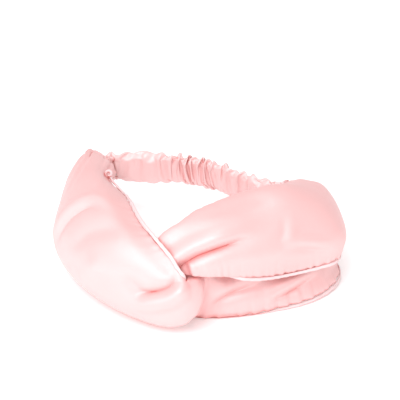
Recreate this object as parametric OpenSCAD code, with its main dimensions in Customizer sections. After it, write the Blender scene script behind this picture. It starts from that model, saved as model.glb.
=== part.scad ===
// Knotted satin headband: two piped strips hooked round each other at the front,
// joined at the back by a gathered casing with a flat elastic inside.
// It stands on its lower edge, knot towards -Y, origin at the centre of its base.

/* [Ring] */
// Overall width of the ring, ear to ear
ring_w = 195; // [185:1:215]

/* [Strips] */
// Thickness of the soft interlining at its fullest
fill_t = 3.0; // [2:0.2:3.4]
// Thickness of the interlining along the strip's edges
edge_t = 0.8; // [0.6:0.1:1]
// Share of that fullness left at the knot and at the side seams
knot_fill = 0.25; // [0.1:0.05:0.4]
// Thickness of the satin
satin_t = 0.6; // [0.4:0.1:0.7]
// Width of the flat piping beyond the edge seam
piping_w = 2.8; // [2.2:0.2:3]
// Thickness of the flat piping
piping_t = 2.4; // [1.8:0.2:2.6]

/* [Back] */
// Height of the gathered casing
casing_h = 22; // [20:1:23]
// Thickness of the casing half way between the seams
casing_t = 9; // [7:0.5:9]
// Thickness of the casing where it is sewn into a side seam
casing_end_t = 4.4; // [4.2:0.1:4.6]
// Width of the elastic
elastic_w = 15; // [12:1:16]
// Thickness of the elastic
elastic_t = 1.2; // [0.8:0.1:1.2]

/* [Thread] */
// Thickness of the seam thread
thread_d = 0.6; // [0.5:0.1:0.8]

/* [Hidden] */

drawn_w = 195;                 // ring width at which the nets below are drawn
net_scale = ring_w / drawn_w;
net_shift = [-0.6, -31, -0.1]; // moves the nets so that the origin is under the ring's middle
layer_gap = 0.15;              // clearance between layers that lie on each other
along = 2;                     // steps between two stations of a net
across = 2;                    // steps between two columns of a net
tube_sides = 8;
left_side = -1;                // which way the nets' normals point out of the ring
right_side = 1;

// Each net runs from the side seam, along the outer leg, round the knot and back along
// the inner leg. A row is one station, from the strip's top edge to its bottom edge.
left_net = [
    [[-61, 105, 33], [-66, 107, 43], [-76, 112, 48], [-80, 115, 34], [-73, 114, 20]],
    [[-60, 86, 41], [-68, 91, 51], [-81, 100, 49], [-88, 101, 30], [-80, 97, 14]],
    [[-56, 63, 46], [-70, 68, 57], [-87, 76, 49], [-92, 78, 27], [-85, 73, 9]],
    [[-49, 32, 54], [-67, 38, 62], [-87, 45, 51], [-94, 48, 25], [-88, 44, 5]],
    [[-44, 9, 60], [-64, 13, 65], [-88, 18, 48], [-95, 20, 23], [-86, 17, 4]],
    [[-36, -13, 62], [-58, -13, 64], [-79, -11, 45], [-84, -8, 19], [-76, -3, 4]],
    [[-28, -32, 61], [-46, -34, 58], [-63, -33, 39], [-66, -28, 15], [-60, -19, 4]],
    [[-21, -44, 57], [-33, -47, 50], [-44, -47, 33], [-45, -41, 11], [-40, -31, 4]],
    [[-15, -51, 51], [-21, -54, 42], [-25, -53, 27], [-25, -47, 8], [-21, -38, 5]],
    [[-9, -53, 43], [-11, -56, 39], [-10, -55, 26], [-10, -48, 11], [-7, -43, 9]],
    [[-7, -51, 38], [-6, -53, 38], [-2, -52, 31], [1, -49, 23], [2, -47, 18]],
    [[-8, -45, 34], [-4, -47, 38], [1, -47, 37], [3, -46, 32], [4, -44, 28]],
    [[-8, -37, 32], [-4, -37, 37], [0, -37, 37], [3, -37, 33], [4, -36, 29]],
    [[-8, -29, 31], [-5, -28, 36], [-1, -28, 35], [1, -28, 31], [1, -28, 27]],
    [[-12, -21, 36], [-9, -19, 36], [-7, -19, 30], [-7, -19, 25], [-8, -20, 21]],
    [[-21, -13, 43], [-20, -11, 39], [-20, -11, 31], [-20, -12, 23], [-21, -13, 16]],
    [[-35, -4, 47], [-35, -2, 40], [-36, -2, 28], [-36, -3, 17], [-37, -5, 10]],
    [[-50, 6, 48], [-51, 9, 40], [-53, 9, 27], [-54, 7, 15], [-55, 3, 7]],
    [[-63, 25, 46], [-65, 27, 39], [-68, 26, 27], [-70, 23, 15], [-71, 19, 8]],
    [[-67, 50, 42], [-69, 51, 36], [-72, 50, 27], [-75, 48, 17], [-77, 46, 10]],
    [[-68, 76, 39], [-69, 77, 34], [-71, 77, 27], [-73, 75, 20], [-75, 73, 14]],
    [[-68, 95, 38], [-69, 96, 34], [-70, 96, 28], [-71, 95, 22], [-72, 94, 17]],
    [[-66, 104, 38], [-67, 105, 34], [-68, 105, 29], [-68, 104, 24], [-69, 103, 19]]
];
right_net = [
    [[62, 76, 47], [64, 77, 43], [65, 78, 37], [65, 77, 30], [63, 76, 23]],
    [[60, 64, 50], [68, 67, 53], [78, 69, 45], [81, 67, 32], [78, 64, 20]],
    [[57, 50, 57], [68, 49, 62], [84, 50, 55], [92, 50, 38], [88, 47, 21]],
    [[54, 36, 61], [65, 30, 67], [84, 27, 59], [96, 25, 40], [94, 22, 23]],
    [[47, 25, 63], [57, 16, 70], [78, 4, 62], [95, -2, 43], [93, -3, 27]],
    [[37, 16, 63], [46, 7, 71], [62, -6, 66], [80, -13, 46], [81, -10, 26]],
    [[24, 6, 62], [31, -2, 70], [44, -16, 66], [60, -23, 47], [61, -19, 26]],
    [[8, -7, 60], [13, -13, 67], [24, -27, 64], [38, -35, 48], [39, -33, 31]],
    [[-6, -17, 59], [-3, -22, 66], [6, -35, 62], [17, -43, 51], [18, -42, 38]],
    [[-16, -24, 56], [-14, -27, 61], [-8, -37, 57], [2, -46, 50], [5, -47, 44]],
    [[-24, -28, 51], [-25, -30, 54], [-21, -37, 51], [-14, -43, 47], [-11, -45, 43]],
    [[-27, -30, 43], [-29, -32, 44], [-25, -38, 42], [-20, -42, 39], [-15, -43, 36]],
    [[-26, -32, 31], [-29, -35, 30], [-26, -40, 29], [-21, -42, 27], [-16, -42, 25]],
    [[-20, -32, 14], [-23, -35, 13], [-21, -38, 14], [-17, -39, 15], [-13, -39, 17]],
    [[-11, -31, 5], [-12, -34, 5], [-10, -36, 7], [-6, -38, 11], [-3, -38, 16]],
    [[2, -31, 3], [3, -34, 5], [5, -35, 11], [7, -33, 18], [9, -29, 25]],
    [[18, -30, 3], [19, -32, 6], [19, -31, 14], [19, -27, 24], [19, -21, 33]],
    [[40, -25, 3], [41, -27, 7], [40, -24, 16], [37, -17, 28], [34, -10, 38]],
    [[61, -17, 3], [61, -18, 8], [59, -13, 18], [53, -4, 30], [48, 3, 40]],
    [[80, -5, 3], [80, -5, 9], [77, 0, 20], [70, 9, 32], [63, 15, 41]],
    [[92, 14, 4], [91, 15, 10], [87, 18, 20], [80, 24, 32], [72, 28, 41]],
    [[85, 40, 7], [84, 41, 13], [81, 41, 22], [76, 42, 32], [71, 42, 40]],
    [[74, 58, 14], [72, 58, 20], [70, 57, 27], [67, 57, 33], [64, 57, 39]],
    [[61, 65, 19], [60, 64, 24], [59, 64, 29], [58, 64, 34], [57, 64, 38]]
];
// Line of the elastic and its casing, from the left seam to the right seam
elastic_line = [
    [-74, 100, 33], [-73, 107, 33.5], [-66, 113, 34], [-54, 115, 34], [-34, 115, 34],
    [-13, 111, 34], [8, 103, 34], [25, 92, 33], [42, 81, 32], [59, 72, 32], [67, 67, 32]
];

satin_pink = [0.96, 0.79, 0.79];
piping_pink = [0.99, 0.91, 0.91];
thread_pink = [0.97, 0.85, 0.85];
white = [0.97, 0.96, 0.94];

function unit(v) = v / norm(v);
function placed(p) = net_scale * (p + net_shift);

// Catmull-Rom curve through points, or through whole rows of points
function curve_at(a, b, c, d, t) =
    0.5 * (2 * b + (c - a) * t + (2 * a - 5 * b + 4 * c - d) * t * t
        + (3 * b - a - 3 * c + d) * t * t * t);
function curve(p, steps) =
    let (m = len(p), q = concat([2 * p[0] - p[1]], p, [2 * p[m - 1] - p[m - 2]]))
    concat(
        [for (i = [0:m - 2], k = [0:steps - 1]) curve_at(q[i], q[i + 1], q[i + 2], q[i + 3], k / steps)],
        [p[m - 1]]
    );

function surface_of(net) =
    [for (row = curve([for (r = net) [for (p = r) placed(p)]], along)) curve(row, across)];
function normals_of(s, side) =
    let (m = len(s) - 1, w = len(s[0]) - 1)
    [for (i = [0:m]) [for (j = [0:w])
        let (lengthwise = s[min(i + 1, m)][j] - s[max(i - 1, 0)][j],
             crosswise = s[i][min(j + 1, w)] - s[i][max(j - 1, 0)])
        side * unit(cross(lengthwise, crosswise))]];

// Half the interlining's thickness: full in each leg, thin at the edges, knot and seams
function half_fill(i, m, j, w) =
    edge_t / 2 + (fill_t - edge_t) / 2 * sin(180 * j / w)
    * (knot_fill + (1 - knot_fill) * pow(sin(360 * i / m), 2));

left_surface = surface_of(left_net);
left_normals = normals_of(left_surface, left_side);
right_surface = surface_of(right_net);
right_normals = normals_of(right_surface, right_side);

// A closed solid through rings of points. A ring runs up one side and back down the other.
module loft(rings) {
    n = len(rings[0]);
    m = len(rings);
    // Both halves of the ring split their quads along the same diagonal, so layers nest
    sides = [for (i = [0:m - 2], j = [0:n - 1], second = [false, true])
        let (a = i * n + j, b = i * n + (j + 1) % n)
        j < n / 2 ? (second ? [a, b + n, a + n] : [a, b, b + n])
                  : (second ? [a, b, a + n] : [b, b + n, a + n])];
    start = [for (j = [0:n / 2 - 2], upper = [false, true])
        upper ? [j, n - 1 - j, n - 2 - j] : [j, n - 2 - j, j + 1]];
    finish = [for (f = start) [f[0] + (m - 1) * n, f[2] + (m - 1) * n, f[1] + (m - 1) * n]];
    polyhedron(points = [for (r = rings) each r], faces = concat(sides, start, finish));
}

// The layer of a strip from inner to outer, as distances beyond the interlining's faces,
// along the share of the strip from start to end.
// face is 1 for the side away from the pocket, -1 for the lining, 0 for the interlining.
module layer(s, nrm, side, face, inner, outer, start = 0, end = 1) {
    m = len(s) - 1;
    w = len(s[0]) - 1;
    low = [for (i = [0:m]) [for (j = [0:w])
        s[i][j] + nrm[i][j] * (face == 0 ? -half_fill(i, m, j, w) : face * (half_fill(i, m, j, w) + inner))]];
    high = [for (i = [0:m]) [for (j = [0:w])
        s[i][j] + nrm[i][j] * (face == 0 ? half_fill(i, m, j, w) : face * (half_fill(i, m, j, w) + outer))]];
    swap = (face < 0) == (side < 0);
    loft([for (i = [round(start * m):round(end * m)])
        let (a = swap ? high[i] : low[i], b = swap ? low[i] : high[i])
        concat(a, [for (j = [w:-1:0]) b[j]])]);
}

module face_of(s, nrm, side) layer(s, nrm, side, 1, layer_gap, layer_gap + satin_t);
module lining_of(s, nrm, side) layer(s, nrm, side, -1, layer_gap, layer_gap + satin_t);
module outer_interlining_of(s, nrm, side) layer(s, nrm, side, 0, 0, 0, 0, 0.5);
module inner_interlining_of(s, nrm, side) layer(s, nrm, side, 0, 0, 0, 0.5, 1);

// Flat piping along one edge: column 0 is the top edge, the last column the bottom edge
module piping_of(s, nrm, side, edge) {
    w = len(s[0]) - 1;
    at = edge == 0 ? 0 : w;
    next = edge == 0 ? 1 : w - 1;
    turn = (edge == 0 ? 1 : -1) * side;
    loft([for (i = [0:len(s) - 1])
        let (out = unit(s[i][at] - s[i][next]), centre = s[i][at] + out * (piping_w / 2 + layer_gap))
        [for (k = [0:tube_sides - 1])
            let (a = turn * 360 * (k + 0.5) / tube_sides)
            centre + out * cos(a) * piping_w / 2 + nrm[i][at] * sin(a) * piping_t / 2]]);
}

// A row of stitches across the outer leg, next to the side seam
module stitches_of(s, nrm) {
    stitch_steps = 4;
    row = 1;
    m = len(s) - 1;
    w = len(s[0]) - 1;
    line = curve([for (j = [0:w])
        s[row][j] + nrm[row][j] * (half_fill(row, m, j, w) + satin_t + 2 * layer_gap + thread_d / 2)],
        stitch_steps);
    for (j = [0:w - 1]) thread([for (k = [1:3]) line[stitch_steps * j + k]]);
}

module thread(path) {
    thread_sides = 6;
    first = unit(path[1] - path[0]);
    a = unit(cross(first, [0.3, 0.5, 0.2]));
    b = cross(first, a);
    loft([for (p = path) [for (k = [0:thread_sides - 1])
        p + thread_d / 2 * (a * cos(360 * k / thread_sides) - b * sin(360 * k / thread_sides))]]);
}

// Elastic, casing and bartacks run along one level line, upright in section
elastic_path = [for (p = curve(elastic_line, 3)) placed(p)];
function path_side(i) =
    let (m = len(elastic_path) - 1, t = unit(elastic_path[min(i + 1, m)] - elastic_path[max(i - 1, 0)]))
    [t[1], -t[0], 0];
function swell(i) = let (m = len(elastic_path) - 1) pow(sin(180 * i / m), 0.5);

// One upright section of a band with rounded edges, at point i of the line
function band_ring(i, h, t, off = 0) =
    [for (k = [0:band_sides - 1])
        let (a = 360 * (k + 0.5) / band_sides, c = cos(a), d = sin(a))
        elastic_path[i] + path_side(i) * (off + t / 2 * sign(c) * pow(abs(c), 0.7))
        + [0, 0, h / 2 * sign(d) * pow(abs(d), 0.45)]];

// A solid band from point from_i to point to_i
module band(h, t, from_i, to_i, off = 0) {
    loft([for (i = [from_i:to_i]) band_ring(i, h, t, off)]);
}

// A closed tube through outer and inner rings that run side by side, open at both ends
module hollow_loft(outer, inner) {
    n = len(outer[0]);
    m = len(outer);
    in = m * n;
    walls = [for (i = [0:m - 2], j = [0:n - 1])
        let (a = i * n + j, b = i * n + (j + 1) % n)
        each [[a, b, b + n], [a, b + n, a + n],
              [in + a, in + b + n, in + b], [in + a, in + a + n, in + b + n]]];
    e = (m - 1) * n;
    rims = [for (j = [0:n - 1])
        let (a = j, b = (j + 1) % n)
        each [[a, in + b, b], [a, in + a, in + b],
              [e + a, e + b, in + e + b], [e + a, in + e + b, in + e + a]]];
    polyhedron(
        points = concat([for (r = outer) each r], [for (r = inner) each r]),
        faces = concat(walls, rims));
}

last = len(elastic_path) - 1;
casing_wall = 1;
band_sides = 12;

module left_strip_face() { color(satin_pink) face_of(left_surface, left_normals, left_side); }
module left_strip_lining() { color(satin_pink) lining_of(left_surface, left_normals, left_side); }
module left_outer_interlining() {
    color(white) outer_interlining_of(left_surface, left_normals, left_side);
}
module left_inner_interlining() {
    color(white) inner_interlining_of(left_surface, left_normals, left_side);
}
module left_top_piping() { color(piping_pink) piping_of(left_surface, left_normals, left_side, 0); }
module left_bottom_piping() { color(piping_pink) piping_of(left_surface, left_normals, left_side, 1); }
module left_seam_stitches() { color(thread_pink) stitches_of(left_surface, left_normals); }

module right_strip_face() { color(satin_pink) face_of(right_surface, right_normals, right_side); }
module right_strip_lining() { color(satin_pink) lining_of(right_surface, right_normals, right_side); }
module right_outer_interlining() {
    color(white) outer_interlining_of(right_surface, right_normals, right_side);
}
module right_inner_interlining() {
    color(white) inner_interlining_of(right_surface, right_normals, right_side);
}
module right_top_piping() { color(piping_pink) piping_of(right_surface, right_normals, right_side, 0); }
module right_bottom_piping() { color(piping_pink) piping_of(right_surface, right_normals, right_side, 1); }
module right_seam_stitches() { color(thread_pink) stitches_of(right_surface, right_normals); }

module elastic_casing() {
    thickness = [for (i = [0:last]) casing_end_t + (casing_t - casing_end_t) * swell(i)];
    color(satin_pink) hollow_loft(
        [for (i = [0:last]) band_ring(i, casing_h, thickness[i])],
        [for (i = [0:last]) band_ring(i, casing_h - 3 * casing_wall, thickness[i] - 2 * casing_wall)]);
}
module elastic() { color(white) band(elastic_w, elastic_t, 0, last); }
module bartack(from_i, to_i) {
    tack_h = 10;
    tack_t = 0.3;
    tack_gap = 0.05;
    band(tack_h, tack_t, from_i, to_i, elastic_t / 2 + tack_t / 2 + tack_gap);
}
module left_elastic_bartack() { color(thread_pink) bartack(1, 2); }
module right_elastic_bartack() { color(thread_pink) bartack(last - 2, last - 1); }

left_strip_face();
left_strip_lining();
left_outer_interlining();
left_inner_interlining();
left_top_piping();
left_bottom_piping();
left_seam_stitches();
right_strip_face();
right_strip_lining();
right_outer_interlining();
right_inner_interlining();
right_top_piping();
right_bottom_piping();
right_seam_stitches();
elastic_casing();
elastic();
left_elastic_bartack();
right_elastic_bartack();
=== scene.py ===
import math

import bmesh
import bpy
import numpy as np
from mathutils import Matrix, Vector


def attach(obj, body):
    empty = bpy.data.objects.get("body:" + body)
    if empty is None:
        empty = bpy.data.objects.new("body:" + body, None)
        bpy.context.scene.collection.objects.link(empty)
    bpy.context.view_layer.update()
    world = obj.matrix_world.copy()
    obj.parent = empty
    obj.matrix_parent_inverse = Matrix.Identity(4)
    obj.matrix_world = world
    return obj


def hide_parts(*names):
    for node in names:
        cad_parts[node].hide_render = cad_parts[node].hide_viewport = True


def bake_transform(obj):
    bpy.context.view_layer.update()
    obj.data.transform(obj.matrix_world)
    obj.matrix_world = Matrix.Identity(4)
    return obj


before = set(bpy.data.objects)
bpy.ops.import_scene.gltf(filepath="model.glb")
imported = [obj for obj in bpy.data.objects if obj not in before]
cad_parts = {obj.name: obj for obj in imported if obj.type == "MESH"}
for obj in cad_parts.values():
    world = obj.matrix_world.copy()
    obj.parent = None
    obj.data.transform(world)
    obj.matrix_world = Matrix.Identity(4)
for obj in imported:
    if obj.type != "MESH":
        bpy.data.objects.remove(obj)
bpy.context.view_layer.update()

MM = 0.001          # metres
UV_SCALE = 0.01     # UV units per mm of cloth

# ---------------------------------------------------------------- shape data, in mm
# The same station nets as the CAD part. A row is one station, with five columns from the strip's
# top edge to its bottom edge.
NET_SHIFT = np.array([-0.6, -31.0, -0.1])
LEFT_NET = [
    [[-61, 105, 33], [-66, 107, 43], [-76, 112, 48], [-80, 115, 34], [-73, 114, 20]],
    [[-60, 86, 41], [-68, 91, 51], [-81, 100, 49], [-88, 101, 30], [-80, 97, 14]],
    [[-56, 63, 46], [-70, 68, 57], [-87, 76, 49], [-92, 78, 27], [-85, 73, 9]],
    [[-49, 32, 54], [-67, 38, 62], [-87, 45, 51], [-94, 48, 25], [-88, 44, 5]],
    [[-44, 9, 60], [-64, 13, 65], [-88, 18, 48], [-95, 20, 23], [-86, 17, 4]],
    [[-36, -13, 62], [-58, -13, 64], [-79, -11, 45], [-84, -8, 19], [-76, -3, 4]],
    [[-28, -32, 61], [-46, -34, 58], [-63, -33, 39], [-66, -28, 15], [-60, -19, 4]],
    [[-21, -44, 57], [-33, -47, 50], [-44, -47, 33], [-45, -41, 11], [-40, -31, 4]],
    [[-15, -51, 51], [-21, -54, 42], [-25, -53, 27], [-25, -47, 8], [-21, -38, 5]],
    [[-9, -53, 43], [-11, -56, 39], [-10, -55, 26], [-10, -48, 11], [-7, -43, 9]],
    [[-7, -51, 38], [-6, -53, 38], [-2, -52, 31], [1, -49, 23], [2, -47, 18]],
    [[-8, -45, 34], [-4, -47, 38], [1, -47, 37], [3, -46, 32], [4, -44, 28]],
    [[-8, -37, 32], [-4, -37, 37], [0, -37, 37], [3, -37, 33], [4, -36, 29]],
    [[-8, -29, 31], [-5, -28, 36], [-1, -28, 35], [1, -28, 31], [1, -28, 27]],
    [[-12, -21, 36], [-9, -19, 36], [-7, -19, 30], [-7, -19, 25], [-8, -20, 21]],
    [[-21, -13, 43], [-20, -11, 39], [-20, -11, 31], [-20, -12, 23], [-21, -13, 16]],
    [[-35, -4, 47], [-35, -2, 40], [-36, -2, 28], [-36, -3, 17], [-37, -5, 10]],
    [[-50, 6, 48], [-51, 9, 40], [-53, 9, 27], [-54, 7, 15], [-55, 3, 7]],
    [[-63, 25, 46], [-65, 27, 39], [-68, 26, 27], [-70, 23, 15], [-71, 19, 8]],
    [[-67, 50, 42], [-69, 51, 36], [-72, 50, 27], [-75, 48, 17], [-77, 46, 10]],
    [[-68, 76, 39], [-69, 77, 34], [-71, 77, 27], [-73, 75, 20], [-75, 73, 14]],
    [[-68, 95, 38], [-69, 96, 34], [-70, 96, 28], [-71, 95, 22], [-72, 94, 17]],
    [[-66, 104, 38], [-67, 105, 34], [-68, 105, 29], [-68, 104, 24], [-69, 103, 19]]
]
RIGHT_NET = [
    [[62, 76, 47], [64, 77, 43], [65, 78, 37], [65, 77, 30], [63, 76, 23]],
    [[60, 64, 50], [68, 67, 53], [78, 69, 45], [81, 67, 32], [78, 64, 20]],
    [[57, 50, 57], [68, 49, 62], [84, 50, 55], [92, 50, 38], [88, 47, 21]],
    [[54, 36, 61], [65, 30, 67], [84, 27, 59], [96, 25, 40], [94, 22, 23]],
    [[47, 25, 63], [57, 16, 70], [78, 4, 62], [95, -2, 43], [93, -3, 27]],
    [[37, 16, 63], [46, 7, 71], [62, -6, 66], [80, -13, 46], [81, -10, 26]],
    [[24, 6, 62], [31, -2, 70], [44, -16, 66], [60, -23, 47], [61, -19, 26]],
    [[8, -7, 60], [13, -13, 67], [24, -27, 64], [38, -35, 48], [39, -33, 31]],
    [[-6, -17, 59], [-3, -22, 66], [6, -35, 62], [17, -43, 51], [18, -42, 38]],
    [[-16, -24, 56], [-14, -27, 61], [-8, -37, 57], [2, -46, 50], [5, -47, 44]],
    [[-24, -28, 51], [-25, -30, 54], [-21, -37, 51], [-14, -43, 47], [-11, -45, 43]],
    [[-27, -30, 43], [-29, -32, 44], [-25, -38, 42], [-20, -42, 39], [-15, -43, 36]],
    [[-26, -32, 31], [-29, -35, 30], [-26, -40, 29], [-21, -42, 27], [-16, -42, 25]],
    [[-20, -32, 14], [-23, -35, 13], [-21, -38, 14], [-17, -39, 15], [-13, -39, 17]],
    [[-11, -31, 5], [-12, -34, 5], [-10, -36, 7], [-6, -38, 11], [-3, -38, 16]],
    [[2, -31, 3], [3, -34, 5], [5, -35, 11], [7, -33, 18], [9, -29, 25]],
    [[18, -30, 3], [19, -32, 6], [19, -31, 14], [19, -27, 24], [19, -21, 33]],
    [[40, -25, 3], [41, -27, 7], [40, -24, 16], [37, -17, 28], [34, -10, 38]],
    [[61, -17, 3], [61, -18, 8], [59, -13, 18], [53, -4, 30], [48, 3, 40]],
    [[80, -5, 3], [80, -5, 9], [77, 0, 20], [70, 9, 32], [63, 15, 41]],
    [[92, 14, 4], [91, 15, 10], [87, 18, 20], [80, 24, 32], [72, 28, 41]],
    [[85, 40, 7], [84, 41, 13], [81, 41, 22], [76, 42, 32], [71, 42, 40]],
    [[74, 58, 14], [72, 58, 20], [70, 57, 27], [67, 57, 33], [64, 57, 39]],
    [[61, 65, 19], [60, 64, 24], [59, 64, 29], [58, 64, 34], [57, 64, 38]]
]
ELASTIC_LINE = [
    [-74, 100, 33], [-73, 107, 33.5], [-66, 113, 34], [-54, 115, 34], [-34, 115, 34],
    [-13, 111, 34], [8, 103, 34], [25, 92, 33], [42, 81, 32], [59, 72, 32], [67, 67, 32]
]

FILL_T, EDGE_T, KNOT_FILL = 3.0, 0.8, 0.25   # interlining thickness, as in the CAD
SKIN = 0.75                                   # satin and its clearance on each face
EDGE_ROLL = 0.5                               # how far the middle of a turned edge stands out
PIPING_W, PIPING_T = 2.5, 1.8

ALONG, ACROSS = 18, 22                   # mesh steps between stations and between columns
NET_SMOOTH = (0.35, 0.18)                # smoothing of a net along and across, in stations and columns
FOLD_STEPS, FOLD_NEAR = 60, 1.6          # points on a fold's line, and how softly the nearest counts, mm
FOLD_REACH = 2.2                         # a fold has no effect this many stations away
FLOOR_SOFT, FLOOR_REACH = 0.5, 6.0       # how softly cloth flattens on the floor, and up to what height


# ---------------------------------------------------------------- curves and surfaces
def on_curve(p, x):
    """Catmull-Rom through the points p (or rows of points) at the places x, 0 to len(p) - 1."""
    p = np.asarray(p, float)
    q = np.concatenate([[2 * p[0] - p[1]], p, [2 * p[-1] - p[-2]]])
    x = np.clip(np.asarray(x, float), 0, len(p) - 1)
    i = np.minimum(x.astype(int), len(p) - 2)
    f = (x - i).reshape((-1,) + (1,) * (p.ndim - 1))
    a, b, c, d = q[i], q[i + 1], q[i + 2], q[i + 3]
    return 0.5 * (2 * b + (c - a) * f + (2 * a - 5 * b + 4 * c - d) * f * f
                  + (3 * b - a - 3 * c + d) * f ** 3)


def unit(v):
    return v / np.maximum(np.linalg.norm(v, axis=-1, keepdims=True), 1e-9)


def ease(x):
    """Zero below 0, one above 1, and a smooth step between."""
    x = np.clip(x, 0, 1)
    return x * x * (3 - 2 * x)


def smoothed(grid, sigma, axis):
    """Gaussian smoothing along one axis, with the two ends held in place."""
    n = grid.shape[axis]
    reach = int(3 * sigma)
    kernel = np.exp(-0.5 * (np.arange(-reach, reach + 1) / sigma) ** 2)
    kernel /= kernel.sum()
    moved = np.moveaxis(grid, axis, 0)
    head = 2 * moved[0] - moved[1:reach + 1][::-1]
    tail = 2 * moved[-1] - moved[-reach - 1:-1][::-1]
    longer = np.concatenate([head, moved, tail])
    out = sum(w * longer[k:k + n] for k, w in enumerate(kernel))
    return np.moveaxis(out, 0, axis)


class Strip:
    """One strip's mid surface on a fine grid, and what lies where on it."""

    def __init__(self, net, side):
        net = np.array(net, float) + NET_SHIFT
        self.rows, self.cols = len(net), len(net[0])
        self.u = np.linspace(0, self.rows - 1, (self.rows - 1) * ALONG + 1)
        self.v = np.linspace(0, self.cols - 1, (self.cols - 1) * ACROSS + 1)
        s = on_curve(net, self.u)
        s = np.swapaxes(on_curve(np.swapaxes(s, 0, 1), self.v), 0, 1)
        s = smoothed(s, NET_SMOOTH[0] * ALONG, 0)
        s = smoothed(s, NET_SMOOTH[1] * ACROSS, 1)
        self.side = side
        self.mid = s
        self.normal = self.normals(s)
        step_u = np.linalg.norm(np.diff(s, axis=0), axis=2)
        step_v = np.linalg.norm(np.diff(s, axis=1), axis=2)
        self.length = np.concatenate([np.zeros((1, s.shape[1])), np.cumsum(step_u, 0)])
        self.from_top = np.concatenate([np.zeros((s.shape[0], 1)), np.cumsum(step_v, 1)], 1)
        self.from_bottom = self.from_top[:, -1:] - self.from_top
        m, w = self.rows - 1, self.cols - 1
        leg = KNOT_FILL + (1 - KNOT_FILL) * np.sin(2 * np.pi * self.u / m) ** 2
        crown = np.sin(np.pi * self.v / w)
        self.half = EDGE_T / 2 + (FILL_T - EDGE_T) / 2 * leg[:, None] * crown[None, :] + SKIN

    def normals(self, s):
        n = np.cross(np.gradient(s, axis=0), np.gradient(s, axis=1))
        return self.side * unit(n)

    def at(self, u, v):
        """The mid surface's points at stations u and columns v."""
        grid = self.mid
        x = np.clip(np.atleast_1d(u) * ALONG, 0, grid.shape[0] - 1.001)
        y = np.clip(np.atleast_1d(v) * ACROSS, 0, grid.shape[1] - 1.001)
        i, j = x.astype(int), y.astype(int)
        f, g = (x - i)[:, None], (y - j)[:, None]
        return ((1 - f) * (1 - g) * grid[i, j] + f * (1 - g) * grid[i + 1, j]
                + (1 - f) * g * grid[i, j + 1] + f * g * grid[i + 1, j + 1])

    def fold(self, stations, height, width, kind, ends=0.35, hang=0.0, flat_end=False):
        """The vectors that make a fold along a line given by (station, column) points.
        height, width and hang are in mm, and the fold fades over the share ends of its line at each
        end, or only at its last one with flat_end. A ridge stands up and a valley sinks. A lip stands
        up on one side of the line and sinks on the other, and hang slides its high side over its low
        side."""
        line = on_curve(np.array(stations, float), np.linspace(0, len(stations) - 1, FOLD_STEPS))
        points = smoothed(self.at(line[:, 0], line[:, 1]), 3, 0)
        tangent = unit(np.gradient(points, axis=0))
        flat = self.mid.reshape(-1, 3)
        normal = self.normal.reshape(-1, 3)
        station = np.repeat(self.u, len(self.v))
        nearest = np.full(len(flat), 1e9)
        for p in points:
            nearest = np.minimum(nearest, ((flat - p) ** 2).sum(1))
        # a weighted mean over the line's points keeps the fold's sides smooth
        total, signed, past, t, gap = np.zeros((5, len(flat)))
        sideways = np.zeros_like(flat)
        for k, p in enumerate(points):
            offset = flat - p
            w = np.exp(-((offset ** 2).sum(1) - nearest) / (2 * FOLD_NEAR ** 2))
            across = np.cross(normal, tangent[k])
            total += w
            signed += w * (offset * across).sum(1)
            sideways += w[:, None] * across
            past += w * (offset @ tangent[k])
            t += w * k / (len(points) - 1.0)
            gap += w * np.abs(station - line[k, 0])
        signed, past, t, gap = (x / total for x in (signed, past, t, gap))
        to_last = (1.02 - t) / ends
        taper = ease(to_last if flat_end else np.minimum((t + 0.02) / ends, to_last))
        reach = np.exp(-(past / width) ** 2) * np.exp(-(gap / FOLD_REACH) ** 4)
        x = signed / width
        if kind == "lip":
            shape = x * np.exp(0.5 - 0.5 * x * x)
        else:
            shape = np.exp(-x * x) * (1 if kind == "ridge" else -1)
        strength = taper * reach
        over = hang * strength * np.exp(-((x - 0.7) / 1.0) ** 2)
        moved = normal * (height * strength * shape)[:, None] - unit(sideways) * over[:, None]
        return moved.reshape(self.mid.shape)

    def raised(self, field):
        """The vectors that move the mid surface along its normal by field."""
        return self.normal * field[..., None]

    def pull(self, u, v, by, long, wide):
        """The vectors that shift the cloth near station u and column v by a vector.
        long is in stations and wide is in columns."""
        near = np.exp(-((self.u[:, None] - u) / long) ** 2 - ((self.v[None, :] - v) / wide) ** 2)
        return near[..., None] * np.array(by, float)

    def dent(self, u, v, depth, long, wide):
        """The vectors for a soft hollow (or a mound, with depth below zero). depth is in mm, as are
        long, the size along the strip, and wide, the size across it."""
        i = int(round(u * ALONG))
        j = int(round(v * ACROSS))
        along = unit(self.mid[min(i + 4, len(self.u) - 1), j] - self.mid[max(i - 4, 0), j])
        d = self.mid - self.at(u, v)[0]
        a = (d * along).sum(2)
        b2 = (d * d).sum(2) - a * a
        near = np.exp(-(np.abs(self.u - u) / 2.5) ** 4)[:, None]
        return self.raised(-depth * np.exp(-(a / long) ** 2 - b2 / wide ** 2) * near)


def window(x, start, stop, soft):
    """One between start and stop, with smooth steps soft long centred on them."""
    return ease(np.minimum(x - start, stop - x) / soft + 0.5)


def ripple(x, wavelength, seed, terms=7):
    """Smooth irregular ripple, about -1 to 1, from sines near one wavelength, in mm."""
    r = np.random.default_rng(seed)
    out = 0
    for k in range(terms):
        f = 1 / (wavelength * r.uniform(0.65, 1.6))
        out = out + np.sin(2 * np.pi * (f * x + r.random()))
    return out / math.sqrt(terms) / 1.3


def undulation(points, wavelength, seed, terms=9):
    """The same ripple in space, on points in mm."""
    r = np.random.default_rng(seed)
    out = 0
    for k in range(terms):
        d = unit(r.normal(size=3)) / (wavelength * r.uniform(0.7, 1.8))
        out = out + np.sin(2 * np.pi * (points @ d + r.random()))
    return out / math.sqrt(terms) / 1.3


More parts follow.
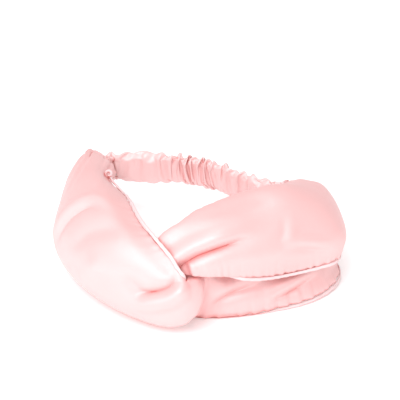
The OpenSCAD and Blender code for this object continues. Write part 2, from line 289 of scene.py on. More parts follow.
def settled(points):
    """Cloth that would pass the floor lies flat on it instead."""
    points = np.array(points, float)
    z = points[..., 2]
    flattened = FLOOR_SOFT * np.log1p(np.exp(np.clip(z, -20, 20) / FLOOR_SOFT))
    points[..., 2] = np.where(z < FLOOR_REACH, flattened, z)
    return points


# ---------------------------------------------------------------- mesh making
def make_object(name, verts, faces, material, uv=None):
    """A smooth-shaded object from vertices in mm."""
    mesh = bpy.data.meshes.new(name)
    mesh.from_pydata((np.asarray(verts) * MM).tolist(), [], [tuple(f) for f in faces])
    mesh.validate()
    if uv is not None:
        layer = mesh.uv_layers.new(name="UVMap")
        loops = np.zeros(len(mesh.loops), int)
        mesh.loops.foreach_get("vertex_index", loops)
        layer.data.foreach_set("uv", np.asarray(uv, float)[loops].ravel().astype(np.float32))
    mesh.polygons.foreach_set("use_smooth", [True] * len(mesh.polygons))
    mesh.materials.append(material)
    mesh.update()
    obj = bpy.data.objects.new(name, mesh)
    bpy.context.scene.collection.objects.link(obj)
    return obj


def remove_object(obj):
    data = obj.data
    bpy.data.objects.remove(obj)
    bpy.data.meshes.remove(data)


def ring_faces(m, n, closed_ends=True):
    """Faces of a tube of m rings with n points each. One face closes each end, if they are closed."""
    i, j = np.meshgrid(np.arange(m - 1), np.arange(n), indexing="ij")
    a, b = i * n + j, i * n + (j + 1) % n
    faces = np.stack([a, b, b + n, a + n], -1).reshape(-1, 4).tolist()
    if closed_ends:
        faces.append(list(range(n))[::-1])
        faces.append([(m - 1) * n + k for k in range(n)])
    return faces


def loft(name, rings, material, uv_long=None, closed_ends=True):
    """A tube through rings of points. uv_long is the cloth's own length at each ring, in mm, where it
    differs from the tube's."""
    rings = np.asarray(rings, float)
    m, n = rings.shape[:2]
    steps = np.linalg.norm(np.diff(rings.mean(1), axis=0), axis=1)
    along = np.concatenate([[0], np.cumsum(steps)]) if uv_long is None else uv_long
    round_ = np.linspace(0, 1, n) * np.linalg.norm(np.diff(rings, axis=1), axis=2).sum(1).mean()
    uv = np.stack(np.broadcast_arrays(along[:, None], round_[None, :]), -1).reshape(-1, 2) * UV_SCALE
    return make_object(name, rings.reshape(-1, 3), ring_faces(m, n, closed_ends), material, uv)


# ---------------------------------------------------------------- materials
def node(tree, kind, **values):
    n = tree.nodes.new(kind)
    for key, value in values.items():
        if key in n.inputs:
            n.inputs[key].default_value = value
        else:
            setattr(n, key, value)
    return n


def mixed(tree, factor, a, b):
    """The colour output of a mix by the socket factor; a and b are each a colour or a colour socket."""
    mix = node(tree, "ShaderNodeMix", data_type="RGBA")
    tree.links.new(factor, mix.inputs["Factor"])
    for socket, value in zip([x for x in mix.inputs if x.type == "RGBA"], (a, b)):
        if isinstance(value, bpy.types.NodeSocket):
            tree.links.new(value, socket)
        else:
            socket.default_value = (*value, 1)
    return [x for x in mix.outputs if x.type == "RGBA"][0]


def ranged(tree, value, low, high, top):
    """The socket value, taken from low to high and mapped to 0 to top."""
    ramp = node(tree, "ShaderNodeMapRange")
    for name, number in (("From Min", low), ("From Max", high), ("To Min", 0.0), ("To Max", top)):
        ramp.inputs[name].default_value = number
    tree.links.new(value, ramp.inputs["Value"])
    return ramp.outputs[0]


def stretched(tree, coords, scale, shape):
    """UV coordinates for noise drawn out along the cloth: scale across it, shape times that along it."""
    mapping = node(tree, "ShaderNodeMapping")
    mapping.inputs["Scale"].default_value = (scale * shape, scale, 1)
    tree.links.new(coords.outputs["UV"], mapping.inputs["Vector"])
    return mapping.outputs[0]


SHADE_REACH, SHADE_FULL = 0.009, 0.75    # metres over which the painted crevice shade looks for walls, and openness with no painted shade
SHADE_TINT = (0.72, 0.2, 0.15)           # colour of the painted shade in crevices, for what many bounces between satin walls leave of its colour
SHEEN_ROUGHNESS, SHEEN_TINT = 0.35, (1.0, 0.86, 0.88, 1)


def colour_with_painted_shade(tree, coords, colour, deep, variation, scale):
    """Two shades mixed by soft noise, and painted shade in the crevices: the cloth's own colour, deepened
    as if bounced about between their walls.
    """
    noise = node(tree, "ShaderNodeTexNoise", Scale=scale, Detail=3.0, Roughness=0.5)
    tree.links.new(coords.outputs["Object"], noise.inputs["Vector"])
    shades = mixed(tree, ranged(tree, noise.outputs["Fac"], 0.35, 0.65, variation), colour, deep)
    # painted shade: where ambient occlusion finds walls close, the colour is mixed towards the deep crevice
    # tint
    shade_openness = node(tree, "ShaderNodeAmbientOcclusion")
    shade_openness.samples = 8
    shade_openness.inputs["Distance"].default_value = SHADE_REACH
    painted_crevice_shade = tuple(tint * c for tint, c in zip(SHADE_TINT, deep))
    return mixed(tree, ranged(tree, shade_openness.outputs["AO"], 0.0, SHADE_FULL, 1.0), painted_crevice_shade, shades)


def cloth_bump(tree, coords, weave, streak, depth):
    """Two crossed sets of threads and faint long streaks, all in the cloth's own UV."""
    threads = node(tree, "ShaderNodeTexNoise", Scale=1.0, Detail=2.0)
    tree.links.new(stretched(tree, coords, weave, 0.12), threads.inputs["Vector"])
    wave = node(tree, "ShaderNodeTexWave", Scale=weave * 0.5, Distortion=0.6, Detail=1.0)
    tree.links.new(coords.outputs["UV"], wave.inputs["Vector"])
    streaks = node(tree, "ShaderNodeTexNoise", Scale=1.0, Detail=4.0)
    tree.links.new(stretched(tree, coords, streak, 0.15), streaks.inputs["Vector"])
    woven = node(tree, "ShaderNodeMath", operation="ADD")
    tree.links.new(threads.outputs["Fac"], woven.inputs[0])
    tree.links.new(wave.outputs["Fac"], woven.inputs[1])
    height = node(tree, "ShaderNodeMath", operation="MULTIPLY_ADD")
    tree.links.new(streaks.outputs["Fac"], height.inputs[0])
    height.inputs[1].default_value = 2.5
    tree.links.new(woven.outputs[0], height.inputs[2])
    bump = node(tree, "ShaderNodeBump", Strength=0.5, Distance=depth)
    tree.links.new(height.outputs[0], bump.inputs["Height"])
    return bump.outputs[0]


def cloth_material(name, colour, deep, rough, sheen, weave, streak, depth, anisotropy=0.0, specular=0.5,
                   ior=1.5, variation=0.35, scale=28.0):
    """Woven cloth, with painted shade in its crevices. weave and streak are counts per UV unit, and depth
    is the weave's, in metres.
    """
    material = bpy.data.materials.new(name)
    material.use_nodes = True
    tree = material.node_tree
    tree.nodes.clear()
    out = node(tree, "ShaderNodeOutputMaterial")
    shader = node(tree, "ShaderNodeBsdfPrincipled")
    tree.links.new(shader.outputs[0], out.inputs[0])
    for socket, value in (("Roughness", rough), ("IOR", ior), ("Specular IOR Level", specular),
                          ("Anisotropic", anisotropy), ("Sheen Weight", sheen),
                          ("Sheen Roughness", SHEEN_ROUGHNESS), ("Sheen Tint", SHEEN_TINT)):
        shader.inputs[socket].default_value = value
    coords = node(tree, "ShaderNodeTexCoord")
    # the base colour carries the painted crevice shade
    tree.links.new(colour_with_painted_shade(tree, coords, colour, deep, variation, scale), shader.inputs["Base Color"])
    tree.links.new(cloth_bump(tree, coords, weave, streak, depth), shader.inputs["Normal"])
    return material


SATIN = cloth_material("satin", (0.93, 0.49, 0.48), (0.91, 0.43, 0.42), rough=0.46, sheen=0.1,
                       weave=260, streak=30, depth=0.00004, anisotropy=0.35, specular=1.0, ior=2.0)
# the casing's satin, with its colours painted paler than the strips' as highlight for the light on its
# billows
CASING_SATIN_PAINTED_LIGHT = cloth_material("casing_satin_painted_light", (0.94, 0.64, 0.63), (0.93, 0.56, 0.55), rough=0.44,
                              sheen=0.1, weave=260, streak=30, depth=0.00004, anisotropy=0.3,
                              specular=1.0, ior=1.9)
PIPING = cloth_material("piping_satin", (0.93, 0.72, 0.725), (0.92, 0.64, 0.64), rough=0.45, sheen=0.2,
                        weave=300, streak=60, depth=0.00005, variation=0.5, scale=120.0)
ELASTIC = cloth_material("ribbed_elastic", (0.86, 0.85, 0.82), (0.78, 0.77, 0.74), rough=0.75, sheen=0.1,
                         weave=80, streak=20, depth=0.0002)
THREAD = cloth_material("thread", (0.93, 0.66, 0.66), (0.9, 0.58, 0.57), rough=0.5, sheen=0.3,
                        weave=900, streak=200, depth=0.00003)


# ---------------------------------------------------------------- strips
def strip_object(name, strip, both, outer, lining, material):
    """The satin of one strip: its face, lining and turned edges, as one closed cover.
    both holds vectors that move the whole thickness; outer and lining move one face each, in mm.
    Returns the cover with the moved mid surface and its normals."""
    mid = strip.mid + both
    n = unit(strip.normals(mid) + strip.normal * 0.4)    # leans to the unfolded surface's normals
    face = mid + n * (strip.half + outer)[..., None]
    back = mid - n * (strip.half + lining)[..., None]
    # each edge has one more column in its middle, a little further out, so it looks turned
    top = mid[:, 0] + unit(mid[:, 0] - mid[:, 2]) * EDGE_ROLL
    bottom = mid[:, -1] + unit(mid[:, -1] - mid[:, -3]) * EDGE_ROLL
    rings = settled(np.concatenate([top[:, None], face, bottom[:, None], back[:, ::-1]], axis=1))
    m, around = rings.shape[:2]
    width = np.concatenate([[[0.0]] * m, strip.from_top, strip.from_top[:, -1:], strip.from_top[:, ::-1]],
                           axis=1)
    if strip.side > 0:
        rings, width = rings[:, ::-1], width[:, ::-1]
    long = np.repeat(strip.length[:, [strip.length.shape[1] // 2]], around, axis=1)
    uv = np.stack([long, width], -1).reshape(-1, 2) * UV_SCALE
    # the two ends are closed by joining the face to the back, column by column
    k = strip.mid.shape[1]
    caps = [(1 + j, 2 + j, 2 * k - j, 2 * k + 1 - j) for j in range(k - 1)]
    caps += [(0, 1, 2 * k + 1), (k + 1, k + 2, k)]
    faces = ring_faces(m, around, False)
    for row, flip in ((0, False), (m - 1, True)):
        for cap in caps:
            face_ = [row * around + (around - 1 - q if strip.side > 0 else q) for q in cap]
            faces.append(face_[::-1] if (strip.side > 0) != flip else face_)
    return make_object(name, rings.reshape(-1, 3), faces, material, uv), mid, n


PIPING_SIDES = 16
PIPING_END = 0.3                    # stations that the piping stops short of the strip's end
CURL_START = 2.05                   # the station where the left top piping's loose end begins to curl
CURL_RADIUS, CURL_TUBE = 2.6, 1.1   # mm
CURL_FROM = math.radians(-70)       # where on its circle the curl begins
CURL_TURN = 2.3 * math.pi
PIPING_START = {"left_top_piping_fold": CURL_START}    # the others start PIPING_END from the strip's end


def piping_object(name, strip, mid, n, edge, seed, material):
    """Flat folded piping sewn along one edge, a little wavy where the seam draws it in."""
    at, inner = (0, 3) if edge == "top" else (-1, -4)
    base = mid[:, at]
    out = unit(smoothed(base - mid[:, inner], 6, 0))
    up = unit(smoothed(n[:, at], 5, 0))
    length = strip.length[:, at]
    wave = ripple(length, 7.0, seed)
    wave2 = ripple(length, 4.6, seed + 1)
    lift, tuck, thin = PIPING_LAY[name](strip.u)
    size = 1 - 0.75 * thin
    centre = (base + up * (lift + 0.14 * wave)[:, None]
              + out * ((PIPING_W / 2 + 0.1 + 0.08 * wave2) * size - tuck)[:, None])
    rings = []
    for k in range(PIPING_SIDES):
        a = 2 * np.pi * (k + 0.5) / PIPING_SIDES
        c, s = math.cos(a), math.sin(a)
        # a drop: flat by the seam, rounder at the fold
        thick = PIPING_T / 2 * (0.62 + 0.38 * (c + 1) / 2) * (1 + 0.12 * wave2) * size
        wide = PIPING_W / 2 * (1 + 0.08 * wave) * size
        rings.append(centre + out * (c * wide)[:, None]
                     + up * (np.sign(s) * abs(s) ** 0.8 * thick)[:, None])
    start = int(PIPING_START.get(name, PIPING_END) * ALONG)
    rings = settled(np.stack(rings, 1)[start:-int(PIPING_END * ALONG)])
    if (strip.side > 0) != (edge == "top"):
        rings = rings[:, ::-1]
    piping = loft(name, rings, material)
    if name in PIPING_START:
        add_curl(piping, centre[start], centre[start] - centre[start + 3], material)
    return piping


def thread_tube(points, radius, sides=8):
    """The rings of a round tube along points, narrower at its two ends."""
    p = on_curve(points, np.linspace(0, len(points) - 1, 4 * len(points)))
    t = unit(np.gradient(p, axis=0))
    a = unit(np.cross(t, [0.3, 0.5, 0.2]))
    b = np.cross(t, a)
    ang = 2 * np.pi * np.arange(sides) / sides
    grow = np.sin(np.pi * np.linspace(0.08, 0.92, len(p))) ** 0.4
    return p[:, None] + radius * grow[:, None, None] * (
        a[:, None] * np.cos(ang)[None, :, None] - b[:, None] * np.sin(ang)[None, :, None])


def add_curl(piping, start, heading, material):
    """The loose end of the piping, curled into a flat spiral that leans on the strip's face."""
    facing = unit(np.array([-0.1, -0.87, 0.5]))    # the way that the flat of the spiral faces
    ahead = unit(heading - facing * (heading @ facing))
    aside = np.cross(ahead, facing)
    turned = np.linspace(0, CURL_TURN, 24)
    angle = CURL_FROM + turned
    radius = CURL_RADIUS * (1 - 0.5 * turned / CURL_TURN)
    centre = start + CURL_RADIUS * (aside * math.cos(CURL_FROM) - ahead * math.sin(CURL_FROM))
    line = (centre + facing * (0.25 * turned)[:, None]
            - aside * (radius * np.cos(angle))[:, None] + ahead * (radius * np.sin(angle))[:, None])
    curl = loft("curl", thread_tube(line, CURL_TUBE, 12), material)
    mesh = bmesh.new()
    mesh.from_mesh(piping.data)
    mesh.from_mesh(curl.data)
    mesh.to_mesh(piping.data)
    mesh.free()
    remove_object(curl)


def gather(strip, near_u, reach, amp, folds, seed):
    """Heights in mm of long soft folds that run along the strip and fade away from station near_u."""
    r = np.random.default_rng(seed)
    fade = np.exp(-(np.abs(strip.u - near_u) / reach) ** 1.6)[:, None]
    x = strip.v[None, :] / (strip.cols - 1)
    drift = 0.06 * np.sin(strip.u * 1.3 + r.random() * 6)[:, None]
    out = 0
    for k in range(4):
        f = folds * r.uniform(0.6, 1.5)
        out = out + r.uniform(0.5, 1) * np.sin(2 * np.pi * (f * (x + drift) + r.random()))
    inside = np.sin(np.pi * x) ** 0.4
    return amp * fade * out * inside / 1.8


PUCKER_REACH = 5.0             # mm from the edge over which puckers fade
GROOVE, GROOVE_W = 0.35, 1.2   # the seam's own groove along each edge, mm


def pucker(strip, amp, wavelength, seed):
    """Heights in mm of the small puckers and the groove that the edge seams draw into the satin."""
    top = ripple(strip.length[:, [0]], wavelength, seed) * np.exp(-strip.from_top / PUCKER_REACH)
    bottom = (ripple(strip.length[:, [-1]], wavelength, seed + 3)
              * np.exp(-strip.from_bottom / PUCKER_REACH))
    groove = GROOVE * (np.exp(-(strip.from_top / GROOVE_W) ** 2)
                       + np.exp(-(strip.from_bottom / GROOVE_W) ** 2))
    return amp * (top + bottom) - groove


left = Strip(LEFT_NET, -1)
right = Strip(RIGHT_NET, 1)
UNEVEN, UNEVEN_FACE, UNEVEN_LINING = 0.35, 0.08, 0.25   # depths of the cloth's slight unevenness, mm

# What moves the left strip's whole thickness. Places are (station, column), and lengths are in mm.
left_both = (
    # the crease across the puff
    left.fold([(4.45, 2.9), (4.4, 2.5), (4.35, 2.25), (4.25, 1.9), (4.2, 1.6), (4.2, 1.3), (4.4, 1.05),
               (4.8, 0.8)], 2.8, 3.8, "lip", ends=0.4, hang=0.8)
    # the crease between the panel beside the piping and the roll
    + left.fold([(9.85, 0.75), (9.2, 1.1), (8.6, 1.55), (8.1, 1.87), (7.6, 2.18), (7.1, 2.35)],
                3.4, 3.4, "lip", ends=0.3, hang=2.6)
    # a long hollow and the ridge beside it
    + left.fold([(4.9, 2.3), (5.15, 1.95), (5.2, 1.55), (5.45, 1.2), (5.9, 0.9)], 2.4, 6.5, "valley")
    + left.fold([(5.7, 3.0), (5.85, 2.5), (6.0, 2.1), (6.3, 1.7)], 2.2, 7.0, "ridge")
    # a slight mound, the small hollow above the roll, and a broad mound on the puff
    + left.dent(6.2, 1.9, -0.8, 16, 11)
    + left.dent(7.2, 1.88, 3.2, 9, 6)
    + left.dent(4.6, 2.5, -1.5, 22, 16)
    # the panel falls away towards the piping
    + left.raised(-4.2 * window(left.u, 4.6, 8.6, 1.6)[:, None]
                  * np.exp(-((left.v - 0.3) / 0.9) ** 2)[None, :])
    # the roll comes forward; near the seam the top edge moves in and up, then out; the bottom edge rises
    + left.pull(8.6, 3.2, (0, -5, -1), 1.3, 1.2)
    + left.pull(9.4, 3.4, (0.5, -3.5, 0), 0.9, 1.4)
    + left.pull(0.9, 0.0, (3, 0, 2), 0.7, 0.9)
    + left.pull(2.0, 0.0, (-3.5, 0, 0), 0.8, 0.8)
    + left.pull(4.6, 4.0, (1, 2, 5), 1.5, 1.3)
    # gathers at both seams and in the knot, and a slight unevenness all over
    + left.raised(gather(left, 0, 2.4, 1.1, 5, 3) + gather(left, 0.3, 2.0, 0.6, 10, 4)
                  + gather(left, 22, 2.0, 0.8, 4, 5) + gather(left, 11.5, 2.0, 0.4, 3, 6)
                  + UNEVEN * undulation(left.mid, 45, 7))
)
left_outer = pucker(left, 0.3, 6.0, 21) + UNEVEN_FACE * undulation(left.mid, 14, 8)
left_lining = pucker(left, 0.3, 6.0, 25) + UNEVEN_LINING * undulation(left.mid, 18, 9)

# The same for the right strip.
right_both = (
    # the long crease that comes out of the knot along the upper leg, and the ridge above it
    right.fold([(10.1, 2.95), (9.5, 2.62), (8.9, 2.42), (8.3, 2.38), (7.7, 2.35), (7.1, 2.36), (6.5, 2.42)],
               3.6, 3.0, "lip", ends=0.45, hang=2.6, flat_end=True)
    + right.fold([(8.8, 1.6), (8.1, 1.75), (7.4, 1.95), (6.7, 2.15), (6.1, 2.35)], 2.3, 7.0, "ridge",
                 ends=0.5)
    # a soft hollow on the dome, and below it two small creases that meet in a V
    + right.fold([(5.2, 1.4), (6.0, 1.4), (7.0, 1.55)], 1.6, 9.0, "valley", ends=0.5)
    + right.fold([(5.4, 2.1), (5.75, 2.45), (6.15, 2.8), (6.7, 3.05)], 0.6, 3.0, "lip", ends=0.5)
    + right.fold([(6.4, 2.8), (6.0, 2.95), (5.6, 3.04), (5.0, 3.25), (4.4, 3.42)], 1.6, 2.8, "lip",
                 ends=0.5)
    # creases and a mound on the lower leg
    + right.fold([(14.9, 1.6), (15.3, 2.04), (15.7, 2.33), (16.2, 2.46), (16.8, 2.38), (17.4, 2.2)],
                 3.4, 3.2, "lip", ends=0.5, hang=1.2)
    + right.fold([(16.9, 1.0), (17.7, 1.42), (18.3, 1.58), (19.3, 1.75)], 2.8, 3.2, "lip", ends=0.5,
                 hang=0.6)
    + right.fold([(15.4, 3.4), (16.1, 3.0), (16.9, 2.6), (17.6, 2.4)], 1.2, 3.0, "lip", ends=0.5)
    + right.dent(19.5, 2.0, -1.5, 18, 14)
    # beside the knot the lower leg's upper edge rises and the upper leg's lower edge drops
    + right.pull(15.0, 4.0, (0, -3, 9), 1.2, 1.7)
    + right.pull(14.1, 4.0, (0, -2, 8), 0.7, 1.5)
    + right.pull(9.2, 4.0, (0, -1, -3.5), 1.1, 0.9)
    # the dome's top is lower at its seam end and higher towards the knot
    + right.pull(1.0, 0.5, (0, 0, -7), 1.6, 1.6)
    + right.pull(2.7, 0.7, (0, 0, -3), 1.0, 1.2)
    + right.pull(7.0, 0.6, (0, 1, 4), 1.7, 1.3)
    # by the knot its top edge sinks and the face beside it rises
    + right.pull(9.4, 0.45, (1, 0, -6), 0.9, 0.55)
    + right.pull(9.3, 1.35, (-2, 0, 3), 0.8, 0.6)
    # the lower leg stands out further close to the floor
    + right.raised(3.5 * window(right.u, 14.5, 21.5, 1.2)[:, None]
                   * np.exp(-(right.v / 0.7) ** 2)[None, :])
    + right.raised(gather(right, 0, 2.0, 0.8, 4, 13) + gather(right, 23, 2.0, 0.8, 4, 15)
                   + gather(right, 12, 1.4, 0.3, 3, 16) + UNEVEN * undulation(right.mid, 45, 17))
)
right_outer = pucker(right, 0.7, 6.5, 31) + UNEVEN_FACE * undulation(right.mid, 14, 18)
right_lining = pucker(right, 0.3, 6.0, 35) + UNEVEN_LINING * undulation(right.mid, 18, 19)


# How each length of piping lies at the stations u: how far it is lifted off its seam and tucked behind
# the cloth, both in mm, and how thin it is pressed, from 0 to 1.
def left_top_lay(u):
    over = window(u, 0.4, CURL_START + 0.5, 0.9)      # the loose end lies on the face
    knotted = window(u, 10.15, 13.4, 0.3)
    return (1.3 * window(u, 0.8, 8.5, 0.8) + 2.0 * over - 1.5 * knotted, 5.2 * over + 1.0 * knotted,
            knotted)


def left_bottom_lay(u):
    under = window(u, 8.0, 12.5, 1.0)
    return -0.8 * under, 1.6 * under, 0 * u


def right_top_lay(u):
    hidden = window(u, 5.6, 13.8, 1.2)
    return 1.6 * window(u, 14.0, 21.0, 1.0), 0.9 * hidden, hidden


def right_bottom_lay(u):
    under = window(u, 7.9, 13.0, 0.9)
    return 1.2 * window(u, 0.8, 7.5, 0.6) - 2.0 * under, 2.4 * under, 0 * u


PIPING_LAY = {
    "left_top_piping_fold": left_top_lay,
    "left_bottom_piping_fold": left_bottom_lay,
    "right_top_piping_fold": right_top_lay,
    "right_bottom_piping_fold": right_bottom_lay,
}

covers = {}         # the moved mid surface and normals of each strip
for side_name, strip, both, outer, lining in (
        ("left", left, left_both, left_outer, left_lining),
        ("right", right, right_both, right_outer, right_lining)):
    cover, mid, n = strip_object(f"{side_name}_strip_satin", strip, both, outer, lining, SATIN)
    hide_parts(f"{side_name}_strip_face", f"{side_name}_strip_lining",
                f"{side_name}_outer_interlining", f"{side_name}_inner_interlining")
    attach(cover, f"{side_name}_half")
    covers[side_name] = (mid, n)
    for edge, seed in (("top", 41), ("bottom", 51)):
        piping = piping_object(f"{side_name}_{edge}_piping_fold", strip, mid, n, edge, seed, PIPING)
        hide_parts(f"{side_name}_{edge}_piping")
        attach(piping, f"{side_name}_half")


# ---------------------------------------------------------------- ruched casing over the elastic
elastic_line = np.array(ELASTIC_LINE, float) + NET_SHIFT


def resampled(points, count):
    """count points evenly spaced along the curve through points, and their distances along it."""
    fine = on_curve(points, np.linspace(0, len(points) - 1, 600))
    d = np.concatenate([[0], np.cumsum(np.linalg.norm(np.diff(fine, axis=0), axis=1))])
    at = np.linspace(0, d[-1], count)
    return np.stack([np.interp(at, d, fine[:, k]) for k in range(3)], 1), at


def level_side(path):
    """Level directions square to the path, to the right of the way it runs."""
    t = np.gradient(path, axis=0)
    t[:, 2] = 0
    t = unit(t)
    return np.stack([t[:, 1], -t[:, 0], 0 * t[:, 0]], 1)


RINGS, AROUND = 176, 40
GATHER = 1.6          # the tube is cut this many times as long as the elastic at rest
BAND_SIDES = 20       # points round the section of a flat band
UP = np.array([0, 0, 1.0])


def around_section(count):
    """Cosines and sines of count angles round a section."""
    a = -2 * np.pi * (np.arange(count) + 0.5) / count
    return np.cos(a), np.sin(a)


def band_rings(height, thick, count):
    """A flat band of the given section along the elastic's line."""
    path, _ = resampled(elastic_line, count)
    side = level_side(path)
    c, s = around_section(BAND_SIDES)
    z = np.sign(s) * np.abs(s) ** 0.45
    w = np.sign(c) * np.abs(c) ** 0.7
    return (path[:, None] + side[:, None] * ((thick / 2) * w)[None, :, None]
            + UP * ((height / 2) * z)[None, :, None])


SIM = 10.0               # cloth is simulated ten times larger, where the solver's distances behave
SIM_FRAMES = 16
SIM_GAP = 0.003          # metres that the cloth keeps from the core and from itself, at that scale
GROWN = 1.5              # each edge of the snug tube grows to this many times its length
PINNED = 3               # rings held at each seam
CORE_H, CORE_T, CORE_RINGS = 15.2, 2.2, 80    # the core that the cloth is kept off, mm and rings
SNUG_H, SNUG_T = (21.0, 5.0), (4.2, 0.8)      # the snug tube at its seams, and how much less between, mm


def snug_rings():
    """The tube drawn up close round the elastic, full height only at its two seams."""
    path, at = resampled(elastic_line, RINGS)
    side = level_side(path)
    inside = window(at / at[-1], 0.035, 0.965, 0.05)
    height = SNUG_H[0] - SNUG_H[1] * inside
    thick = SNUG_T[0] - SNUG_T[1] * inside
    a = -2 * np.pi * (np.arange(AROUND) + 0.5) / AROUND
    c, s = around_section(AROUND)
    rings = np.zeros((RINGS, AROUND, 3))
    for k in range(AROUND):
        fold = ripple(at + 2.0 * s[k] + 1.5 * math.cos(2 * a[k]), 8.5, 71 if c[k] > 0 else 72, 6)
        lift = 0.7 * (fold + 0.8) * inside
        w = np.sign(c[k]) * abs(c[k]) ** 0.7 * thick / 2 + c[k] * lift
        z = np.sign(s[k]) * abs(s[k]) ** 0.45 * height / 2 + s[k] * lift
        rings[:, k] = path + side * w[:, None] + UP * z[:, None]
    return rings, at


def simulate_casing(rings):
    """Cloth: the snug tube grows towards its cut size between its seams and crumples round a core."""
    m, n = rings.shape[:2]
    tube = loft("casing_cloth", rings * SIM, CASING_SATIN_PAINTED_LIGHT, closed_ends=False)
    pin = tube.vertex_groups.new(name="pin")
    held = list(range(PINNED)) + list(range(m - PINNED, m))
    pin.add([ring * n + k for ring in held for k in range(n)], 1.0, "REPLACE")
    core = loft("casing_core", band_rings(CORE_H, CORE_T, CORE_RINGS) * SIM, ELASTIC)
    core.modifiers.new("Collision", "COLLISION")
    core.collision.thickness_outer = SIM_GAP
    core.collision.cloth_friction = 5.0
    mod = tube.modifiers.new("Cloth", "CLOTH")
    s = mod.settings
    s.quality = 5
    s.mass = 0.3
    s.tension_stiffness = s.compression_stiffness = 25
    s.shear_stiffness = 8
    s.bending_stiffness = 1.2
    s.tension_damping = s.compression_damping = s.shear_damping = 5
    s.bending_damping = 0.5
    s.air_damping = 2
    s.vertex_group_mass = "pin"
    s.shrink_min = 1 - GROWN
    s.effector_weights.gravity = 0.0
    mod.collision_settings.collision_quality = 2
    mod.collision_settings.distance_min = SIM_GAP
    mod.collision_settings.use_self_collision = True
    mod.collision_settings.self_distance_min = SIM_GAP
    mod.point_cache.frame_start, mod.point_cache.frame_end = 1, SIM_FRAMES
    scene = bpy.context.scene
    for f in range(1, SIM_FRAMES + 1):
        scene.frame_set(f)
    crumpled = tube.evaluated_get(bpy.context.evaluated_depsgraph_get())
    mesh = crumpled.to_mesh()
    co = np.zeros(len(mesh.vertices) * 3, np.float32)
    mesh.vertices.foreach_get("co", co)
    crumpled.to_mesh_clear()
    scene.frame_set(1)
    remove_object(tube)
    remove_object(core)
    return co.reshape(m, n, 3).astype(float) / (SIM * MM)


rings, at = snug_rings()
rings = simulate_casing(rings)
casing = loft("ruched_casing", rings, CASING_SATIN_PAINTED_LIGHT, uv_long=at * GATHER, closed_ends=False)
sub = casing.modifiers.new("Subdivision", "SUBSURF")
sub.levels = sub.render_levels = 1
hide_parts("elastic_casing")
ELASTIC_H, ELASTIC_T = 15.0, 1.2
elastic = loft("elastic_band", band_rings(ELASTIC_H, ELASTIC_T, 160), ELASTIC)
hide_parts("elastic")
for piece in (casing, elastic):
    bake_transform(piece)


# ---------------------------------------------------------------- seam stitches
STITCH_PITCH, STITCH_GAP, STITCH_MARGIN = 3.2, 1.0, 2.0    # mm
STITCH_R, STITCH_OFF = 0.22, 0.12                          # thread radius, and its height over the satin
STITCH_STATION = 0.45


def stitches(name, strip, mid, n, outer):
    """A row of stitches across the strip's face, close to the seam."""
    verts, faces = [], []
    i = int(round(STITCH_STATION * ALONG))
    line = mid[i] + n[i] * (strip.half[i] + outer[i] + STITCH_OFF)[:, None]
    d = np.concatenate([[0], np.cumsum(np.linalg.norm(np.diff(line, axis=0), axis=1))])
    long = STITCH_PITCH - STITCH_GAP
    start = STITCH_MARGIN
    while start + long < d[-1] - STITCH_MARGIN:
        along = np.linspace(start, start + long, 5)
        points = np.stack([np.interp(along, d, line[:, k]) for k in range(3)], 1)
        tube = thread_tube(points, STITCH_R)
        faces += [[len(verts) + q for q in face] for face in ring_faces(*tube.shape[:2])]
        verts += tube.reshape(-1, 3).tolist()
        start += STITCH_PITCH
    return make_object(name, verts, faces, THREAD)


for side_name, strip, outer in (("left", left, left_outer), ("right", right, right_outer)):
    thread = stitches(f"{side_name}_seam_thread", strip, *covers[side_name], outer)
    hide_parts(f"{side_name}_seam_stitches")
    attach(thread, f"{side_name}_half")

for tack in ("left_elastic_bartack", "right_elastic_bartack"):
    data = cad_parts[tack].data
    data.materials.clear()
    data.materials.append(THREAD)


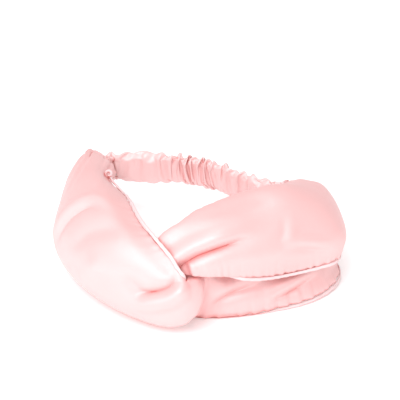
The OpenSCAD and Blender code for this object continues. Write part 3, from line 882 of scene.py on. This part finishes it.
# ---------------------------------------------------------------- floor, light and camera
floor_material = bpy.data.materials.new("pale_floor")
floor_material.use_nodes = True
floor_shader = floor_material.node_tree.nodes["Principled BSDF"]
floor_shader.inputs["Base Color"].default_value = (0.93, 0.93, 0.93, 1)
floor_shader.inputs["Roughness"].default_value = 0.9
floor_shader.inputs["Emission Color"].default_value = (1, 1, 1, 1)
floor_shader.inputs["Emission Strength"].default_value = 0.22
FLOOR_HALF, FLOOR_Z = 4000, -0.3      # mm
corners = [(-1, -1), (1, -1), (1, 1), (-1, 1)]
floor = make_object("floor", [(FLOOR_HALF * x, FLOOR_HALF * y, FLOOR_Z) for x, y in corners],
                    [(0, 1, 2, 3)], floor_material)

world = bpy.data.worlds.new("studio")
bpy.context.scene.world = world
world.use_nodes = True
world.node_tree.nodes["Background"].inputs["Color"].default_value = (1, 1, 1, 1)
world.node_tree.nodes["Background"].inputs["Strength"].default_value = 0.72


LIT = (0.0, 0.0, 0.035)         # the point that the lights face, metres
SOFTBOX = 0.6                   # side of each light, metres
COOL = (1.0, 0.97, 1.0)
WHITE = (1.0, 1.0, 1.0)
LIGHTS = (                      # name, place in metres, watts, colour
    ("left_softbox", (-1.0, -0.84, 0.06), 2.8, COOL),
    ("front_softbox", (-0.39, -0.83, 0.95), 7.0, COOL),
    ("low_softbox", (0.0, -1.13, 0.68), 2.2, WHITE),
    ("top_softbox", (-0.1, 0.0, 1.33), 3.0, WHITE),
)
for name, place, power, colour in LIGHTS:
    light = bpy.data.lights.new(name, "AREA")
    light.shape = "SQUARE"
    light.size = SOFTBOX
    light.energy = power
    light.color = colour
    softbox = bpy.data.objects.new(name, light)
    softbox.location = place
    softbox.rotation_euler = (Vector(LIT) - Vector(place)).to_track_quat("-Z", "Y").to_euler()
    bpy.context.scene.collection.objects.link(softbox)

camera_data = bpy.data.cameras.new("camera")
camera_data.sensor_width = 36
camera_data.lens = 117.7
camera_data.clip_start = 0.01
camera = bpy.data.objects.new("camera", camera_data)
bpy.context.scene.collection.objects.link(camera)
CAMERA_DISTANCE, CAMERA_ELEVATION = 0.85, math.radians(30)
FRAMED = Vector((-0.0006, -0.031, 0.0399))      # the point that the distance and elevation are from
AIM = Vector((0.00135, -0.01865, 0.0613))       # the point in the middle of the view
camera.location = FRAMED + CAMERA_DISTANCE * Vector(
    (0, -math.cos(CAMERA_ELEVATION), math.sin(CAMERA_ELEVATION)))
camera.rotation_euler = (AIM - camera.location).to_track_quat("-Z", "Y").to_euler()
bpy.context.scene.camera = camera
bpy.context.scene.view_settings.view_transform = "Standard"
